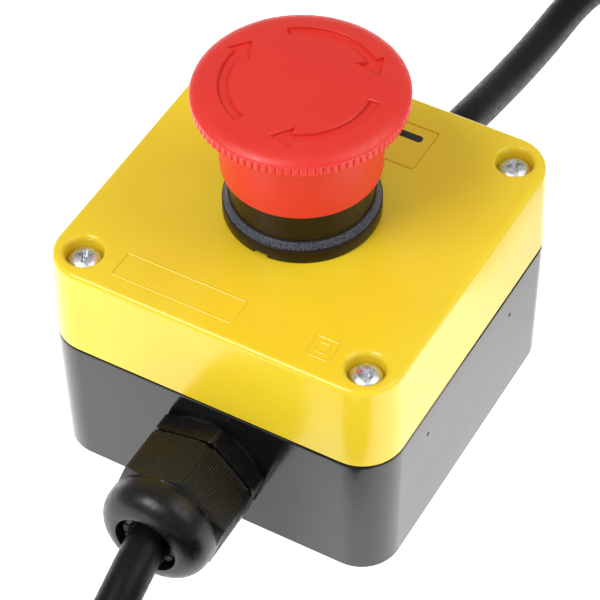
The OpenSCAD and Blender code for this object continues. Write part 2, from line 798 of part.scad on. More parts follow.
module socket_insert() {
    face = socket_l - recess_depth;
    color("#242528") connector_place(socket_at, 180) difference() {
        translate([0, 0, face - 7.9]) cylinder(r = recess_r - 0.05, h = 7.9);
        for (s = [-1, 1]) {
            translate([s * pin_half_spacing, 0, face - 7]) cylinder(r = pin_r + 0.3, h = 8);
            translate([-clip_w / 2 - 0.5, s * (recess_r - 1) - 1.5, face - 4]) cube([clip_w + 1, 3, 5]);
        }
    }
}

module socket_earth_clips() {
    face = socket_l - recess_depth;
    color("#c9c4b4") connector_place(socket_at, 180) for (s = [-1, 1])
        translate([-clip_w / 2, s > 0 ? recess_r - 2.2 : 1.3 - recess_r, face - 3.9]) cube([clip_w, 0.9, 15]);
}

base();
lid();
lid_gasket();
lid_screws();
legend_label();
mushroom_head();
spindle();
latch_pin();
latch_cam();
lip_seal();
operator_body();
bezel_ring();
panel_gasket();
operator_nut();
plunger();
pusher_foot();
return_spring();
mount_collar();
collar_screws();
contact_block_1();
contact_block_2();
contact_plunger_1();
contact_plunger_2();
contact_bridge_1();
contact_bridge_2();
contact_spring_1();
contact_spring_2();
fixed_contacts();
terminal_screws();
terminal_clamps();
supply_gland_body();
supply_gland_washer();
supply_gland_seal();
supply_gland_nut();
supply_gland_locknut();
outlet_gland_body();
outlet_gland_washer();
outlet_gland_seal();
outlet_gland_nut();
outlet_gland_locknut();
supply_cord_inner();
outlet_cord_inner();
brown_lead_in();
brown_lead_out();
blue_lead_in();
blue_lead_out();
earth_leads();
earth_splice();
supply_cord();
supply_coil();
outlet_cord();
coil_tie();
plug_body();
plug_pins();
plug_earth_clips();
socket_body();
socket_insert();
socket_earth_clips();
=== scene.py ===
import math

import bmesh
import bpy
from mathutils import Matrix, Vector


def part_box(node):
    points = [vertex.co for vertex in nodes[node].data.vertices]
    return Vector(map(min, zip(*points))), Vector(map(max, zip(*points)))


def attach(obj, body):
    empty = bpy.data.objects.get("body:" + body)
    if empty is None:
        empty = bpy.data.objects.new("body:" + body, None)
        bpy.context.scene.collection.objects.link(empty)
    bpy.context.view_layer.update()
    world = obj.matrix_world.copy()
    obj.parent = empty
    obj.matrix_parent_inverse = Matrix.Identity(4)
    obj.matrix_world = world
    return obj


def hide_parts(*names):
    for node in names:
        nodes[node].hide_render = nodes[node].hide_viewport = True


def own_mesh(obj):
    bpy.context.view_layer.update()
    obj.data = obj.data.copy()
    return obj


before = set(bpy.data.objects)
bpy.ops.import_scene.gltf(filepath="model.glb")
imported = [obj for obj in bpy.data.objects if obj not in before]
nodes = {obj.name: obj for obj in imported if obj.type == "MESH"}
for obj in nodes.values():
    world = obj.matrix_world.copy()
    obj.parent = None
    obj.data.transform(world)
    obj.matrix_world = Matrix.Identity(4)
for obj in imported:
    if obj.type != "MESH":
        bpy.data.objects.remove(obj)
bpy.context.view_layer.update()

MM = 0.001


# ---------------------------------------------------------------- places from the frame

def box_mm(node):
    """Lowest and highest corner of a CAD node, in millimetres."""
    low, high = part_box(node)
    return [c / MM for c in low], [c / MM for c in high]


base_low, base_high = box_mm("base")
lid_low, lid_high = box_mm("lid")
head_low, head_high = box_mm("mushroom_head")
CASE_HALF = base_high[0]
BASE_TOP = base_high[2]
LID_BOTTOM = BASE_TOP + 0.4
CASE_TOP = box_mm("bezel_ring")[0][2] - 0.05
CORNER_R = 8.4
DRAFT = 0.45
WALL = 2.5
SCREW_AT = 29.5
WELL_R = 4.1
WELL_DEPTH = 3.2
GLAND_Z = sum(box_mm("supply_cord_inner")[i][2] for i in (0, 1)) / 2
GLAND_MOUTH = box_mm("outlet_gland_nut")[1][1]
LEAD_R = 4.0
PLUG_AT, PLUG_R, PLUG_L = (32.6, -133.5, 34.6), 18.5, 50
SOCKET_AT, SOCKET_R, SOCKET_L = (72, 101, 22.05), 22, 66
PIN_R = 2.4
PIN_OFFSET = 9.5


# ---------------------------------------------------------------- camera

def make_camera():
    """The photograph's view: a long lens from above the corner between the front and right walls."""
    azimuth = math.radians(30.165)
    elevation = math.radians(47.766)
    roll = math.radians(-1.007)
    target = Vector((1.66, -4.42, 30)) * MM
    distance = 512.9 * MM
    back = Vector((math.sin(azimuth) * math.cos(elevation),
                   -math.cos(azimuth) * math.cos(elevation), math.sin(elevation)))
    side = Vector((math.cos(azimuth), math.sin(azimuth), 0))
    up = back.cross(side)
    right = side * math.cos(roll) + up * math.sin(roll)
    top = up * math.cos(roll) - side * math.sin(roll)
    data = bpy.data.cameras.new("camera")
    data.sensor_width = 36
    data.lens = 160.9
    data.clip_start = 0.01
    data.clip_end = 20
    camera = bpy.data.objects.new("camera", data)
    axes = Matrix((right, top, back)).transposed().to_4x4()
    camera.matrix_world = Matrix.Translation(target + back * distance) @ axes
    bpy.context.scene.collection.objects.link(camera)
    bpy.context.scene.camera = camera


make_camera()


# ---------------------------------------------------------------- materials

def srgb(r, g, b):
    """Linear colour of an sRGB colour given as 0 to 255."""
    def channel(v):
        v = v / 255
        return v / 12.92 if v <= 0.04045 else ((v + 0.055) / 1.055) ** 2.4
    return (channel(r), channel(g), channel(b), 1)


class Material:
    """A Principled material on object coordinates, with helpers for its noise, bump and colour."""

    def __init__(self, name, color, rough=0.4, metallic=0.0, ior=1.5):
        self.material = bpy.data.materials.new(name)
        self.material.use_nodes = True
        self.tree = self.material.node_tree
        self.bsdf = self.tree.nodes["Principled BSDF"]
        self.bsdf.inputs["Base Color"].default_value = color
        self.bsdf.inputs["Roughness"].default_value = rough
        self.bsdf.inputs["Metallic"].default_value = metallic
        self.bsdf.inputs["IOR"].default_value = ior
        self.coords = self.tree.nodes.new("ShaderNodeTexCoord").outputs["Object"]
        self.height = None

    def link(self, output, node_input):
        self.tree.links.new(output, node_input)

    def noise(self, per_metre, detail=3.0, stretch=(1, 1, 1)):
        """Noise with that many features in a metre."""
        mapping = self.tree.nodes.new("ShaderNodeMapping")
        mapping.inputs["Scale"].default_value = stretch
        texture = self.tree.nodes.new("ShaderNodeTexNoise")
        texture.inputs["Scale"].default_value = per_metre
        texture.inputs["Detail"].default_value = detail
        self.link(self.coords, mapping.inputs["Vector"])
        self.link(mapping.outputs["Vector"], texture.inputs["Vector"])
        return texture.outputs["Fac"]

    def ramp(self, value, low, high, at=(0.35, 0.65)):
        """A value between two colours, as the noise goes from at[0] to at[1]."""
        node = self.tree.nodes.new("ShaderNodeValToRGB")
        node.color_ramp.elements[0].position = at[0]
        node.color_ramp.elements[0].color = low
        node.color_ramp.elements[1].position = at[1]
        node.color_ramp.elements[1].color = high
        self.link(value, node.inputs["Fac"])
        return node.outputs["Color"]

    def vary_color(self, low, high, per_metre, **more):
        """Colour that drifts between two."""
        self.link(self.ramp(self.noise(per_metre, **more), low, high), self.bsdf.inputs["Base Color"])
        return self

    def vary_rough(self, low, high, per_metre, **more):
        """Roughness that drifts between two values."""
        grey = self.ramp(self.noise(per_metre, **more), (low,) * 3 + (1,), (high,) * 3 + (1,), (0.3, 0.7))
        self.link(grey, self.bsdf.inputs["Roughness"])
        return self

    def bump(self, per_metre, distance_mm, strength=1.0, detail=3.0, stretch=(1, 1, 1)):
        """Adds one layer of bump, on top of those already there."""
        node = self.tree.nodes.new("ShaderNodeBump")
        node.inputs["Strength"].default_value = strength
        node.inputs["Distance"].default_value = distance_mm * MM
        self.link(self.noise(per_metre, detail, stretch), node.inputs["Height"])
        if self.height is not None:
            self.link(self.height, node.inputs["Normal"])
        self.height = node.outputs["Normal"]
        self.link(self.height, self.bsdf.inputs["Normal"])
        return self


def moulded(name, color, darker, rough, **more):
    """Moulded plastic: faint colour drift, uneven gloss, and the slight waviness of a moulding."""
    m = Material(name, color, rough=rough, **more)
    m.vary_color(darker, color, 60)
    m.vary_rough(rough * 0.75, rough * 1.25, 900)
    return m


yellow = moulded("yellow_plastic", srgb(239, 210, 44), srgb(237, 205, 40), 0.2, ior=1.48).bump(
    140, 0.05, 0.22).bump(2600, 0.006, 0.3).material
black_gloss = moulded("black_gloss_plastic", srgb(20, 21, 24), srgb(15, 16, 19), 0.13, ior=1.5).bump(
    90, 0.14, 0.3).bump(3000, 0.004, 0.3).material
red = moulded("red_plastic", srgb(220, 50, 38), srgb(216, 46, 35), 0.38, ior=1.45).bump(3500, 0.006, 0.4).material
# Black plastic tinted reddish-brown: the tint is a painted reflection of the red head, and the dark base is the
# plastic's own colour.
black_satin = moulded("black_satin_plastic", srgb(30, 17, 12), srgb(21, 12, 9), 0.32, ior=1.36).bump(
    4000, 0.01, 0.5).material
# Lighter blue-grey colour for the band on the bezel's slope: its lightness and blue tint are a painted reflection of
# the bright surroundings, and the speckle noise varies its tone at random.
bezel_band_painted_reflection = Material("bezel_band_painted_reflection_plastic", srgb(60, 64, 74), ior=1.45).vary_color(
    srgb(24, 25, 29), srgb(82, 88, 102), 3400).vary_rough(0.3, 0.5, 900).bump(2600, 0.03, 0.6).material
gland_black = moulded("gland_polyamide", srgb(16, 14, 14), srgb(11, 10, 11), 0.34, ior=1.41).bump(
    1800, 0.01, 0.35).material
rubber = moulded("rubber", srgb(24, 24, 25), srgb(17, 17, 18), 0.6, ior=1.4).bump(5000, 0.02, 0.6).material
sheath = moulded("lead_sheath", srgb(14, 15, 17), srgb(10, 10, 12), 0.42, ior=1.27).bump(
    2600, 0.02, 0.45).material
connector_rubber = moulded("connector_rubber", srgb(28, 28, 30), srgb(22, 22, 24), 0.5).bump(
    4500, 0.02, 0.6).material
ivory = moulded("ivory_plastic", srgb(225, 219, 200), srgb(215, 208, 188), 0.4).bump(3000, 0.01, 0.4).material
grey_plastic = moulded("grey_plastic", srgb(74, 77, 80), srgb(66, 69, 72), 0.42).bump(3500, 0.015, 0.5).material
green_plastic = moulded("green_plastic", srgb(52, 118, 66), srgb(46, 106, 58), 0.4).bump(
    3500, 0.01, 0.5).material
red_block = moulded("red_block_plastic", srgb(200, 52, 42), srgb(186, 46, 38), 0.4).bump(
    3500, 0.01, 0.5).material
foil = moulded("label_foil", srgb(238, 204, 40), srgb(236, 199, 37), 0.4).bump(2500, 0.006, 0.4).material
ink = moulded("legend_ink", srgb(24, 22, 20), srgb(30, 27, 24), 0.5).bump(3500, 0.005, 0.4).material


def metal(name, color, darker, rough, per_metre=1500, stretch=(1, 1, 1)):
    """Plated metal with fine tool marks and dull patches."""
    m = Material(name, color, rough=rough, metallic=1.0)
    m.vary_color(darker, color, 500)
    m.vary_rough(rough * 0.6, rough * 1.5, per_metre, stretch=stretch)
    return m.bump(per_metre * 2, 0.01, 0.35, stretch=stretch)


zinc = metal("zinc_plate", srgb(236, 238, 241), srgb(206, 210, 215), 0.34).material
spring_steel = metal("spring_steel", srgb(176, 179, 184), srgb(140, 144, 150), 0.28).material
brass = metal("contact_brass", srgb(204, 160, 84), srgb(176, 132, 64), 0.3).material
nickel = metal("nickel_plate", srgb(208, 203, 190), srgb(182, 176, 160), 0.18).material


def insulation(name, color, darker):
    """Smooth insulation of one wire."""
    return moulded(name, color, darker, 0.38).bump(3000, 0.01, 0.4).material


brown_wire = insulation("brown_insulation", srgb(104, 60, 32), srgb(92, 52, 28))
blue_wire = insulation("blue_insulation", srgb(44, 98, 176), srgb(38, 88, 160))
splice_yellow = insulation("splice_sleeve", srgb(214, 186, 60), srgb(202, 172, 50))


def earth_insulation():
    """Green insulation with yellow stripes that wind round it."""
    m = Material("earth_insulation", srgb(96, 150, 50), rough=0.38)
    wave = m.tree.nodes.new("ShaderNodeTexWave")
    wave.bands_direction = "DIAGONAL"
    wave.inputs["Scale"].default_value = 110
    m.link(m.coords, wave.inputs["Vector"])
    m.link(m.ramp(wave.outputs["Fac"], srgb(60, 130, 50), srgb(222, 200, 50), (0.48, 0.52)),
           m.bsdf.inputs["Base Color"])
    return m.bump(3000, 0.01, 0.4).material


earth_wire = earth_insulation()


def woven_band():
    """Woven hook-and-loop band: crossing threads."""
    m = Material("woven_band", srgb(34, 34, 36), rough=0.85)
    m.vary_color(srgb(24, 24, 26), srgb(48, 48, 50), 1400, detail=2.0)
    return m.bump(2200, 0.12, 0.8, detail=2.0).material


band_fabric = woven_band()


# ---------------------------------------------------------------- mesh tools

def make_object(name, points, faces, material, sharp=32):
    """An object from points in millimetres, smooth except where its faces meet at more than sharp degrees."""
    mesh = bpy.data.meshes.new(name)
    mesh.from_pydata([Vector(p) * MM for p in points], [], faces)
    mesh.validate()
    work = bmesh.new()
    work.from_mesh(mesh)
    bmesh.ops.remove_doubles(work, verts=work.verts, dist=1e-7)
    bmesh.ops.recalc_face_normals(work, faces=work.faces)
    work.to_mesh(mesh)
    work.free()
    shade(mesh, sharp)
    if material is not None:
        mesh.materials.append(material)
    obj = bpy.data.objects.new(name, mesh)
    bpy.context.scene.collection.objects.link(obj)
    return obj


def shade(mesh, sharp):
    """Smooth shading except at edges of more than sharp degrees."""
    mesh.shade_smooth()
    mesh.set_sharp_from_angle(angle=math.radians(sharp))


def loft(name, loops, material=None, sharp=32, closed=False):
    """A solid through loops of equally many points. Its two ends are capped, or joined when closed."""
    count = len(loops[0])
    points = [p for loop in loops for p in loop]
    rows = len(loops)
    faces = []
    for i in range(rows if closed else rows - 1):
        for k in range(count):
            j = (i + 1) % rows
            n = (k + 1) % count
            faces.append([i * count + k, i * count + n, j * count + n, j * count + k])
    if not closed:
        faces.append(list(range(count))[::-1])
        faces.append([(rows - 1) * count + k for k in range(count)])
    return make_object(name, points, faces, material, sharp)


def lathe(name, profile, material=None, count=128, radius=None, sharp=32, closed=False):
    """A solid turned about Z from (radius, height) points, where radius(r, z, angle) may change each radius.
    A closed profile is a ring; an open one ends on the axis."""
    loops = []
    for r, z in profile:
        loop = []
        for k in range(count):
            a = 2 * math.pi * k / count
            q = max(radius(r, z, a) if radius else r, 1e-4)
            loop.append((q * math.cos(a), q * math.sin(a), z))
        loops.append(loop)
    return loft(name, loops, material, sharp, closed)


def arc(cx, cz, r, start, end, steps):
    """Points (radius, height) on an arc about (cx, cz), angles in degrees."""
    out = []
    for i in range(steps + 1):
        a = math.radians(start + (end - start) * i / steps)
        out.append((cx + r * math.cos(a), cz + r * math.sin(a)))
    return out


def rounded_rect(hx, hy, r, z, steps=10, at=(0, 0)):
    """Loop around a rectangle with round corners."""
    loop = []
    for corner, (sx, sy) in enumerate(((1, 1), (-1, 1), (-1, -1), (1, -1))):
        for i in range(steps + 1):
            a = math.radians(90 * corner + 90 * i / steps)
            loop.append((at[0] + sx * (hx - r) + r * math.cos(a), at[1] + sy * (hy - r) + r * math.sin(a), z))
    return loop


def combine(obj, other, operation):
    """Applies a boolean of other to obj, and removes other."""
    modifier = obj.modifiers.new("combine", "BOOLEAN")
    modifier.operation = operation
    modifier.solver = "EXACT"
    modifier.object = other
    bake_modifiers(obj, [other])


def bake_modifiers(obj, spent=()):
    """Makes obj's modifiers part of its mesh, and removes the objects they used up."""
    bpy.context.view_layer.update()
    graph = bpy.context.evaluated_depsgraph_get()
    mesh = bpy.data.meshes.new_from_object(obj.evaluated_get(graph))
    obj.modifiers.clear()
    old = obj.data
    obj.data = mesh
    bpy.data.meshes.remove(old)
    for other in spent:
        bpy.data.objects.remove(other)
    return obj


def cut(obj, *others):
    """Cuts each of the others from obj, one after another."""
    for other in others:
        combine(obj, other, "DIFFERENCE")


def join_on(obj, *others):
    """Joins each of the others on to obj, one after another."""
    for other in others:
        combine(obj, other, "UNION")


def finish_mesh(obj, sharp=32):
    """Clean shading for a solid made with cuts: flat faces stay flat, rounded edges stay round."""
    work = bmesh.new()
    work.from_mesh(obj.data)
    bmesh.ops.remove_doubles(work, verts=work.verts, dist=2e-7)
    bmesh.ops.dissolve_degenerate(work, edges=work.edges, dist=1e-7)
    work.to_mesh(obj.data)
    work.free()
    shade(obj.data, sharp)
    modifier = obj.modifiers.new("flat faces stay flat", "WEIGHTED_NORMAL")
    modifier.keep_sharp = True
    modifier.weight = 100
    return bake_modifiers(obj)


def merge(name, pieces):
    """One object from several, which keeps each one's place and material."""
    target = bmesh.new()
    materials = []
    for piece in pieces:
        mesh = piece.data.copy()
        mesh.transform(piece.matrix_world)
        for material in piece.data.materials:
            if material not in materials:
                materials.append(material)
        remap = [materials.index(m) for m in piece.data.materials] or [0]
        for polygon in mesh.polygons:
            polygon.material_index = remap[min(polygon.material_index, len(remap) - 1)]
        target.from_mesh(mesh)
        bpy.data.meshes.remove(mesh)
    mesh = bpy.data.meshes.new(name)
    target.to_mesh(mesh)
    target.free()
    for material in materials:
        mesh.materials.append(material)
    for piece in pieces:
        bpy.data.objects.remove(piece)
    obj = bpy.data.objects.new(name, mesh)
    bpy.context.scene.collection.objects.link(obj)
    return obj


def place(obj, matrix):
    """Moves a piece's mesh, so that its object stays at the origin."""
    bpy.context.view_layer.update()
    obj.data.transform(matrix @ obj.matrix_world)
    obj.matrix_world = Matrix.Identity(4)
    return obj


def turn(degrees, axis="Z"):
    return Matrix.Rotation(math.radians(degrees), 4, axis)


def shift(x=0, y=0, z=0):
    return Matrix.Translation(Vector((x, y, z)) * MM)


def copy_of(obj, name):
    twin = bpy.data.objects.new(name, obj.data.copy())
    bpy.context.scene.collection.objects.link(twin)
    return twin


def corners(dx, dy):
    """The four corners at plus and minus dx and dy."""
    return [(x * dx, y * dy) for x in (-1, 1) for y in (-1, 1)]


def stands_for(obj, body, slot, *names):
    """Makes a piece ride on its body and replace CAD nodes. The slot is not used."""
    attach(obj, body)
    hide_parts(*names)
    return obj


# ---------------------------------------------------------------- leads

def curve_point(a, b, c, d, t):
    """Point at t from 0 to 1 between b and c, on the smooth curve through a, b, c and d."""
    return tuple(0.5 * (2 * q + (r - p) * t + (2 * p - 5 * q + 4 * r - s) * t * t
                        + (3 * q - p - 3 * r + s) * t ** 3) for p, q, r, s in zip(a, b, c, d))


def smooth(points, steps):
    """A route with extra points on the smooth curve between its own."""
    last = len(points) - 1
    out = []
    for i in range(last):
        around = [points[min(max(j, 0), last)] for j in (i - 1, i, i + 1, i + 2)]
        out += [curve_point(*around, k / steps) for k in range(steps)]
    return out + [points[last]]


def ease(value, start, end):
    """0 before start, 1 after end, and smooth between them."""
    t = min(max((value - start) / (end - start), 0), 1)
    return t * t * (3 - 2 * t)


COIL_R = 40.0


def coil_turns(centre, sweep_from, sweep_to, steps):
    """Route of the coiled lead, in degrees of winding from the side that faces -X, anticlockwise from above."""
    inner, outer = COIL_R - LEAD_R, COIL_R + LEAD_R
    low, high = 4.05, 12.05
    route = []
    for i in range(steps + 1):
        sweep = sweep_from + (sweep_to - sweep_from) * i / steps
        r = outer + (inner - outer) * ease(sweep, 285, 352)
        r += (outer - inner) * ease(sweep, 850, 940)
        z = low + (high - low) * ease(sweep, 560, 640)
        a = math.radians(180 + sweep)
        route.append((centre[0] + r * math.cos(a), centre[1] + r * math.sin(a), z))
    return route


supply_run = [(0, -58, 15.5), (0.3, -62, 15.1), (0.6, -66, 14.2), (0.9, -71, 12.5), (1, -77, 10.1), (0.9, -84, 7.4),
              (0.5, -91, 5.3), (0.2, -98, 4.25), (0, -104, 4.05)]
supply_tail = [(7.1, -80, 13.5), (3, -88, 15.6), (0.7, -96, 18.2), (0.3, -104.5, 21.2), (2.3, -112.8, 24.4),
               (6.4, -120.2, 27.5), (12.2, -126.3, 30.3), (19.5, -130.7, 32.6), (27.6, -133.1, 34.1),
               (32.6, -133.5, 34.6)]
outlet_run = [(0, 58, 15.5), (0, 62, 15.3), (0, 67, 14.6), (0, 73, 13.2), (-0.1, 82, 10.9), (-0.2, 93, 8.4),
              (-0.3, 105, 6.2), (-0.4, 114, 5), (-0.3, 122, 4.4), (0.8, 130.4, 4.1), (4, 138.2, 4.05), (9.2, 145, 4.05),
              (15.9, 150.1, 4.05), (23.8, 153.4, 4.05), (32.2, 154.5, 4.1), (39.5, 154.5, 4.4), (47.9, 153.4, 5.3),
              (55.8, 150.1, 6.9), (62.5, 145, 9.2), (67.6, 138.2, 12), (70.9, 130.4, 15.1), (72, 122, 18.2),
              (72, 114, 20.6), (72, 107, 21.8), (72, 101, 22.05)]
coil_centre = (44, -104)
winding = coil_turns(coil_centre, 14, 1036, 90)


def route_length(route):
    """Length along a route, in millimetres."""
    return sum((Vector(b) - Vector(a)).length for a, b in zip(route, route[1:]))


def make_lead(name, route):
    """A sheathed lead as one curve through its route's points, and its length in metres."""
    data = bpy.data.curves.new(name, "CURVE")
    data.dimensions = "3D"
    data.bevel_depth = (LEAD_R - 0.02) * MM
    data.bevel_resolution = 7
    data.resolution_u = 1
    data.use_fill_caps = True
    data.twist_mode = "Z_UP"
    spline = data.splines.new("POLY")
    spline.points.add(len(route) - 1)
    for point, place_mm in zip(spline.points, route):
        point.co = (*(Vector(place_mm) * MM), 1)
    spline.use_smooth = True
    data.materials.append(sheath)
    obj = bpy.data.objects.new(name, data)
    bpy.context.scene.collection.objects.link(obj)
    return obj, route_length(route) * MM


supply_lead, supply_length = make_lead("supply_lead", smooth(supply_run + winding + supply_tail, 3))
outlet_lead, outlet_length = make_lead("outlet_lead", smooth(outlet_run, 3))
stands_for(supply_lead, "case", "lead_sheath", "supply_cord", "supply_coil")
stands_for(outlet_lead, "case", "lead_sheath", "outlet_cord")


# ---------------------------------------------------------------- case

def base_shell():
    """Black base: drafted walls with rounded edges, screw posts, gasket groove, gland and mounting holes."""
    foot = CASE_HALF - DRAFT
    loops = [rounded_rect(foot - 0.7 + r, foot - 0.7 + r, CORNER_R - 1.1 + r, z)
             for r, z in arc(0, 0.7, 0.7, -90, 0, 4)]
    loops += [rounded_rect(h, h, CORNER_R - 0.4 + h - foot, z) for h, z in
              ((foot + 0.15, 10), (foot + 0.3, 20), (CASE_HALF - 0.02, BASE_TOP - 0.3), (CASE_HALF - 0.2, BASE_TOP))]
    shell = loft("base_shell", loops, black_gloss)
    inner = CASE_HALF - WALL
    room = loft("room", [rounded_rect(h, h, r, z) for h, r, z in
                         ((inner - 0.6, 5.3, WALL), (inner, 5.9, WALL + 0.6), (inner, 5.9, BASE_TOP + 1))])
    cut(shell, room)
    places = list(zip(corners(SCREW_AT, SCREW_AT), corners(27, 19)))
    for screw_place, mount_place in places:
        post = lathe("post", [(0, 1.5), (4.5, 1.5), (4.5, BASE_TOP - 0.2), (4.3, BASE_TOP), (0, BASE_TOP)], count=40)
        join_on(shell, place(post, shift(*screw_place)))
        boss = lathe("boss", [(0, 1.5), (4.2, 1.5), (4.2, 3.5), (4, 3.7), (0, 3.7)], count=40)
        join_on(shell, place(boss, shift(*mount_place)))
    for screw_place, mount_place in places:
        pilot = lathe("pilot", [(0, 11), (1.5, 11), (1.5, 40), (0, 40)], count=24)
        cut(shell, place(pilot, shift(*screw_place)))
        hole = lathe("hole", [(0, -1), (2.5, -1), (2.5, 0), (2.15, 0.35), (2.15, 6), (0, 6)], count=32)
        cut(shell, place(hole, shift(*mount_place)))
    tunnel = lathe("tunnel", [(0, -40), (9.5, -40), (9.5, 40), (0, 40)], count=64)
    cut(shell, place(tunnel, shift(0, 0, GLAND_Z) @ turn(90, "X")))
    groove = loft("groove", [rounded_rect(h, h, r, z) for h, r, z in
                             ((35.65, 7.55, BASE_TOP - 1), (35.65, 7.55, BASE_TOP + 1), (34.75, 6.65, BASE_TOP + 1),
                              (34.75, 6.65, BASE_TOP - 1))], closed=True)
    cut(shell, groove)
    # The two small gate marks low under the joint on the +X wall
    for y in (-17.8, 16.1):
        mark = lathe("mark", [(0, -1), (0.45, -1), (0.45, 0.12), (0, 0.12)], count=16)
        cut(shell, place(mark, shift(CASE_HALF - 0.1, y, 24.4) @ turn(-90, "Y")))
    finish_mesh(shell)
    stands_for(shell, "case", "black_case", "base")


def well_cutter(x, y):
    """Screw well with a rounded mouth and a hole for the screw below it."""
    top = CASE_TOP
    floor = top - WELL_DEPTH
    profile = [(0, LID_BOTTOM - 3), (1.7, LID_BOTTOM - 3), (1.7, floor), (WELL_R - 0.75, floor)]
    profile += [(WELL_R - 0.55, floor + 0.1), (WELL_R - 0.5, top - 1.2)]
    profile += arc(WELL_R + 0.5, top - 1, 1, 180, 90, 6)
    profile += [(WELL_R + 0.5, top + 2), (0, top + 2)]
    return place(lathe("well", profile, count=64), shift(x, y))


def frame_bar(x0, y0, x1, y1, line=0.5, height=0.19):
    """Thin raised outline on the lid, with a rounded crest."""
    cx, cy = (x0 + x1) / 2, (y0 + y1) / 2
    hx, hy = (x1 - x0) / 2, (y1 - y0) / 2
    top = CASE_TOP
    section = ((0, -0.3), (0, height * 0.3), (line * 0.28, height), (line * 0.72, height), (line, height * 0.3),
               (line, -0.3))
    loops = [rounded_rect(hx - d, hy - d, max(0.55 - d, 0.1), top + h, 3, (cx, cy)) for d, h in section]
    return loft("outline", loops, closed=True)


def lid_shell():
    """Yellow lid: drafted walls, 1 mm top edge, screw wells, legend recess, raised outlines."""
    top = CASE_TOP
    crown = CASE_HALF - DRAFT
    edge = 1.1
    loops = [rounded_rect(h, h, r, z) for h, r, z in
             ((CASE_HALF - 0.2, CORNER_R - 0.2, LID_BOTTOM), (CASE_HALF - 0.02, CORNER_R, LID_BOTTOM + 0.3),
              (CASE_HALF - 0.15, CORNER_R - 0.13, 37), (CASE_HALF - 0.3, CORNER_R - 0.26, 44))]
    loops += [rounded_rect(crown - edge + r, crown - edge + r, CORNER_R - 0.4 - edge + r, z)
              for r, z in arc(0, top - edge, edge, 0, 90, 7)]
    shell = loft("lid_shell", loops, yellow)
    inner = CASE_HALF - WALL
    room = loft("room", [rounded_rect(h, h, r, z) for h, r, z in
                         ((inner, 5.9, LID_BOTTOM - 1), (inner, 5.9, top - WALL - 0.6),
                          (inner - 0.6, 5.3, top - WALL))])
    cut(shell, room)
    for x, y in corners(SCREW_AT, SCREW_AT):
        profile = [(0, LID_BOTTOM), (5, LID_BOTTOM), (5.2, LID_BOTTOM + 0.2), (5.2, top - 2), (0, top - 2)]
        join_on(shell, place(lathe("post", profile, count=48), shift(x, y)))
    for x, y in corners(SCREW_AT, SCREW_AT):
        cut(shell, well_cutter(x, y))
    hole = lathe("hole", [(0, top - 5), (11.2, top - 5), (11.2, top + 2), (0, top + 2)], count=96)
    cut(shell, hole)
    levels = ((-0.1, -0.3), (0, -0.22), (0.02, -0.08), (0.12, 0.02), (0.12, 1))
    recess = loft("recess", [rounded_rect(13.7 + d, 5.525 + d, 0.6 + d, top + z, 4, (0, 23.675)) for d, z in levels])
    cut(shell, recess)
    join_on(shell, frame_bar(-22.4, -32.2, 3.5, -25.8), frame_bar(17.9, -31.8, 23.2, -26.5),
            frame_bar(19.15, -30.55, 21.95, -27.75))
    tongue_out = inner - 0.3
    tongue = loft("tongue", [rounded_rect(h, h, r, z) for h, r, z in
                             ((tongue_out, 5.6, 29), (tongue_out + 1, 6.6, 32.2), (tongue_out + 1, 6.6, 34),
                              (tongue_out - 1.4, 4.2, 34), (tongue_out - 1.4, 4.2, 29))], closed=True)
    for x, y in corners(SCREW_AT, SCREW_AT):
        relief = lathe("relief", [(0, 28), (4.9, 28), (4.9, LID_BOTTOM), (0, LID_BOTTOM)], count=40)
        cut(tongue, place(relief, shift(x, y)))
    join_on(shell, tongue)
    finish_mesh(shell)
    stands_for(shell, "case", "yellow_lid", "lid")


def legend():
    """Foil label in the lid's recess, with plain bars where a legend would be printed."""
    low, high = box_mm("legend_label")
    top = high[2]
    hx, hy = (high[0] - low[0]) / 2, (high[1] - low[1]) / 2
    cy = (low[1] + high[1]) / 2
    plate = loft("legend_plate", [rounded_rect(hx + d, hy + d, 0.6 + d, z, 4, (0, cy)) for d, z in
                                  ((0, low[2]), (0, top - 0.05), (-0.05, top))], foil)
    finish_mesh(plate)
    stands_for(plate, "case", "label_foil", "legend_label")
    bars = []
    for y, x0, x1 in ((cy + 2.35, -11.4, 11.6), (cy - 2.35, -6.6, 6.4)):
        middle, half = (x0 + x1) / 2, (x1 - x0) / 2
        bars.append(loft("bar", [rounded_rect(half - d, 0.85 - d, 0.7 - d, z, 6, (middle, y)) for d, z in
                                 ((0, top - 0.01), (0, top + 0.02), (0.03, top + 0.035))], ink))
    print_marks = merge("legend_marks", bars)
    shade(print_marks.data, 32)
    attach(print_marks, "case")


def cross_recess(width, long, depth, top):
    """Tapered cross-shaped cutter for a screw head."""
    arms = []
    levels = ((0.35, 0.55, -depth), (0.72, 0.85, -depth * 0.55), (1.0, 1.0, -depth * 0.1), (1.08, 1.06, 0.4))
    for angle in (0, 90):
        loops = [rounded_rect(long * grow_long, width * grow_wide, 0.08, top + z, 2)
                 for grow_long, grow_wide, z in levels]
        arms.append(place(loft("arm", loops), turn(angle)))
    return arms


